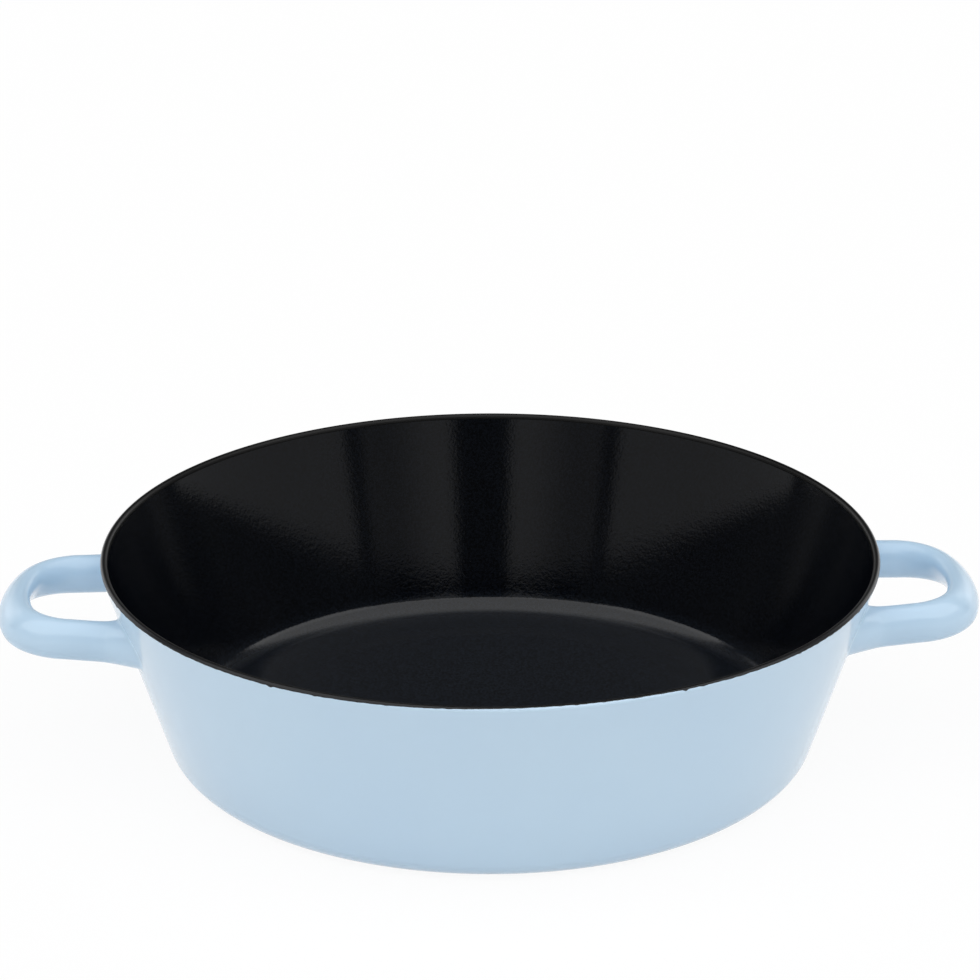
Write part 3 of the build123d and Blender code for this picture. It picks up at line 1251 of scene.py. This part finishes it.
@dataclass
class Studio:
    """A pale floor under soft light, as directions of brightness round the pan.

    Heights and slopes are those of a direction: its share of up, and its run for each rise.
    Turns are in degrees from the camera's side, to the left and to the right alike.

    Attributes:
        overhead: Brightness of the wide soft light above.
        overhead_width: Slopes sideways between which it ends.
        overhead_rear: Slopes between which it ends behind.
        overhead_front: Slopes between which it ends in front.
        lowest: Least rise that a slope is taken over.
        panel_top: Heights between which all the panels end.
        front_panels: Brightness of the pair beside the camera.
        front_turns: Turns from where to where that pair stands.
        front_fade: Turns between which it fades outwards.
        front_fade_share: What is left of it there.
        side_panels: Brightness of the panels at the sides.
        side_turns: Turns from where to where these stand.
        rear_sides: Brightness of the broad pair behind at the sides.
        rear_turns: Turns from where to where that pair stands.
        rear_edge: How softly it ends, in degrees.
        low_back: Brightness of the low backdrop.
        low_back_top: Heights between which it ends.
        low_back_turns: Turns between which it begins.
        room: Brightness of all that is left.
        floor_tone: Colour of the floor.
        floor_size: Width of the floor.
        floor_cuts: Cuts across the floor each way.
        floor_gap: How far below the pan it lies.
        floor_glow_share: Share of plain white in how the camera and a mirror see it.
    """

    overhead: float = 1.48
    overhead_width: tuple[float, float] = (2.6, 3.2)
    overhead_rear: tuple[float, float] = (-0.42, -0.34)
    overhead_front: tuple[float, float] = (1.85, 2.05)
    lowest: float = 0.02
    panel_top: tuple[float, float] = (0.45, 0.6)
    front_panels: float = 0.42
    front_turns: tuple[float, float] = (9.0, 38.5)
    front_fade: tuple[float, float] = (13.0, 31.0)
    front_fade_share: float = 0.42
    side_panels: float = 0.37
    side_turns: tuple[float, float] = (43.5, 107.0)
    rear_sides: float = 1.2
    rear_turns: tuple[float, float] = (124.0, 150.0)
    rear_edge: float = 16.0
    low_back: float = 0.4
    low_back_top: tuple[float, float] = (0.19, 0.31)
    low_back_turns: tuple[float, float] = (110.0, 125.0)
    room: float = 0.048
    floor_tone: Tone = (0.9, 0.9, 0.9)
    floor_size: float = 16.0
    floor_cuts: int = 3
    floor_gap: float = 0.02 * MM
    floor_glow_share: float = 0.92

    def floor(self) -> bpy.types.Object:
        """Lay the floor under the pan."""
        clear_selection()
        bpy.ops.mesh.primitive_plane_add(size=self.floor_size)
        piece = bpy.context.active_object
        bpy.ops.object.mode_set(mode="EDIT")
        bpy.ops.mesh.subdivide(number_cuts=self.floor_cuts)
        bpy.ops.transform.translate(value=(0, 0, -self.floor_gap))
        bpy.ops.object.mode_set(mode="OBJECT")
        finish_piece(piece, "floor", self.floor_material())
        return piece

    def floor_material(self) -> bpy.types.Material:
        """Build the floor's finish: a pale matt one that looks almost plain white itself."""
        material = bpy.data.materials.new("pale_floor")
        material.use_nodes = True
        graph = Graph(material.node_tree)
        shade = graph.add("ShaderNodeBsdfDiffuse", {"Color": with_alpha(self.floor_tone)})
        glow = graph.add("ShaderNodeEmission", {"Color": with_alpha((1.0, 1.0, 1.0)), "Strength": 1.0})
        rays = graph.add("ShaderNodeLightPath").outputs
        seen = graph.math("MAXIMUM", rays["Is Camera Ray"], rays["Is Glossy Ray"])
        seen = graph.math("MAXIMUM", seen, rays["Is Transmission Ray"])
        share = graph.math("MULTIPLY", seen, self.floor_glow_share)
        mixed = graph.add("ShaderNodeMixShader", {0: share, 1: shade.outputs[0], 2: glow.outputs[0]})
        graph.add("ShaderNodeOutputMaterial", {0: mixed.outputs[0]})
        return material

    def light(self) -> None:
        """Set the light as a world whose brightness depends on direction alone."""
        world = bpy.data.worlds.new("studio")
        bpy.context.scene.world = world
        world.use_nodes = True
        graph = Graph(world.node_tree)
        way = graph.add("ShaderNodeTexCoord").outputs["Generated"]
        right, back, up = list(graph.add("ShaderNodeSeparateXYZ", {0: way}).outputs)[:3]
        front = graph.math("MULTIPLY", back, -1.0)
        turn = graph.math("DEGREES", graph.math("ARCTAN2", graph.math("ABSOLUTE", right), front))
        above = self.light_above(graph, right, front, up)
        panels = graph.math("MULTIPLY", self.panels(graph, turn), graph.ramp(up, *self.panel_top, 1.0, 0.0))
        low = graph.ramp(up, *self.low_back_top, self.low_back, 0.0)
        low = graph.math("MULTIPLY", low, graph.ramp(turn, *self.low_back_turns, 0.0, 1.0))
        total = graph.math("ADD", graph.math("ADD", above, panels), graph.math("ADD", low, self.room))
        colour = graph.add("ShaderNodeCombineColor", {0: total, 1: total, 2: total}).outputs[0]
        background = graph.add("ShaderNodeBackground", {"Color": colour, "Strength": 1.0})
        graph.add("ShaderNodeOutputWorld", {0: background.outputs[0]})

    def light_above(self, graph: Graph, right: object, front: object, up: object) -> bpy.types.NodeSocket:
        """Brightness of the wide light above, by a direction's three parts."""
        rise = graph.math("MAXIMUM", up, self.lowest)
        sideways = graph.math("ABSOLUTE", graph.math("DIVIDE", right, rise))
        forwards = graph.math("DIVIDE", front, rise)
        box = graph.math(
            "MULTIPLY",
            graph.ramp(sideways, *self.overhead_width, 1.0, 0.0),
            graph.ramp(forwards, *self.overhead_rear, 0.0, 1.0),
        )
        box = graph.math("MULTIPLY", box, graph.ramp(forwards, *self.overhead_front, 1.0, 0.0))
        return graph.math("MULTIPLY", box, self.overhead)

    def panels(self, graph: Graph, turn: object) -> bpy.types.NodeSocket:
        """Brightness of the upright panels, by the turn from the camera's side."""
        faded = self.front_panels * self.front_fade_share
        fade = graph.ramp(turn, *self.front_fade, self.front_panels, faded)
        front = self.panel(graph, turn, self.front_turns, fade)
        sides = self.panel(graph, turn, self.side_turns, self.side_panels)
        rear = self.panel(graph, turn, self.rear_turns, self.rear_sides, self.rear_edge)
        return graph.math("ADD", graph.math("ADD", front, sides), rear)

    @staticmethod
    def panel(
        graph: Graph, turn: object, turns: tuple[float, float], level: object, edge: float = 1.0
    ) -> bpy.types.NodeSocket:
        """Brightness of an upright panel.

        Args:
            graph: The world's graph.
            turn: The turn of a direction from the camera's side, in degrees.
            turns: From where to where the panel stands.
            level: Its brightness.
            edge: How softly it ends, in degrees.

        Returns:
            The brightness in that direction.
        """
        start, end = turns
        rising = graph.ramp(turn, start - edge, start + edge, 0.0, 1.0)
        falling = graph.ramp(turn, end - edge, end + edge, 1.0, 0.0)
        return graph.math("MULTIPLY", graph.math("MULTIPLY", rising, falling), level)


@dataclass
class PictureCamera:
    """The camera at the photograph's angle, on a square picture.

    Attributes:
        picture_width: Width of the picture in pixels.
        focal_pixels: Focal length in the same pixels.
        pitch: How far it looks down.
        yaw: How far it is turned to the right.
        roll: How far it is tilted about its own line of sight.
        distance: Distance to the point that it looks at.
        target_aside: How far right of the pan's axis that point lies.
        target_height: Height of that point.
        sensor_width: Width of the sensor in millimetres.
        clip: Nearest and farthest distance that it sees.
    """

    picture_width: float = 980.0
    focal_pixels: float = 3908.9
    pitch: float = 0.3729
    yaw: float = math.radians(2.64)
    roll: float = -0.0010
    distance: float = 1.3967
    target_aside: float = -0.08 * MM
    target_height: float = 97.0 * MM
    sensor_width: float = 36.0
    clip: tuple[float, float] = (0.05, 60.0)

    def build(self) -> bpy.types.Object:
        """Add the camera and make it the scene's."""
        right = Vector((math.cos(self.yaw), -math.sin(self.yaw), 0))
        level = Vector((math.sin(self.yaw), math.cos(self.yaw), 0))
        top = Vector((0, 0, 1))
        forward = level * math.cos(self.pitch) - top * math.sin(self.pitch)
        up = level * math.sin(self.pitch) + top * math.cos(self.pitch)
        target = right * self.target_aside + top * self.target_height
        turned_right = right * math.cos(self.roll) + up * math.sin(self.roll)
        turned_up = up * math.cos(self.roll) - right * math.sin(self.roll)
        place = Matrix((turned_right, turned_up, -forward)).transposed().to_4x4()
        place.translation = target - forward * self.distance
        clear_selection()
        bpy.ops.object.camera_add()
        camera = bpy.context.active_object
        camera.name = "camera"
        camera.matrix_world = place
        camera.data.sensor_width = self.sensor_width
        camera.data.lens = self.focal_pixels * self.sensor_width / self.picture_width
        camera.data.clip_start, camera.data.clip_end = self.clip
        bpy.context.scene.camera = camera
        return camera


def dress_steel() -> None:
    """Give the frame's own steel nodes their finishes."""
    sheet = SHEET_STEEL.material()
    weld = WELD_STEEL.material()
    finishes = {"steel_pan_shell": sheet, "left_handle_tube": sheet, "right_handle_tube": sheet}
    for side in Side:
        for leg in ("front", "rear"):
            finishes[f"{side.word}_{leg}_weld"] = weld
    for name, material in finishes.items():
        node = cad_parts[name]
        node.data.materials.clear()
        node.data.materials.append(material)
        LOG.info("dressed %s", name)


def note(piece: bpy.types.Object) -> None:
    """Log a piece that is done."""
    LOG.info("built %s with %d faces", piece.name, len(piece.data.polygons))


def main() -> None:
    """Build the camera, the light, the coats and the handles in order."""
    logging.basicConfig(level=logging.INFO, format="%(relativeCreated)6d ms  %(message)s")
    bpy.context.scene.view_settings.view_transform = "Standard"
    PictureCamera().build()
    studio = Studio()
    studio.floor()
    studio.light()
    surface = fired_surface_group()
    pan = PanShape()
    dress_steel()
    handle_finish = BLUE_HANDLE.material(surface)
    note(WallCoat(pan).build(BLUE_WALL.material(surface)))
    note(InnerCoat(pan).build(BLACK_INSIDE.material(surface)))
    note(RimBand(pan).build(RIM_BLACK.material(surface)))
    note(BaseCoat(pan).build(GROUND_COAT.material(surface)))
    for side in Side:
        note(LoopHandle(pan, side).build(handle_finish))


if __name__ == "__main__":
    main()
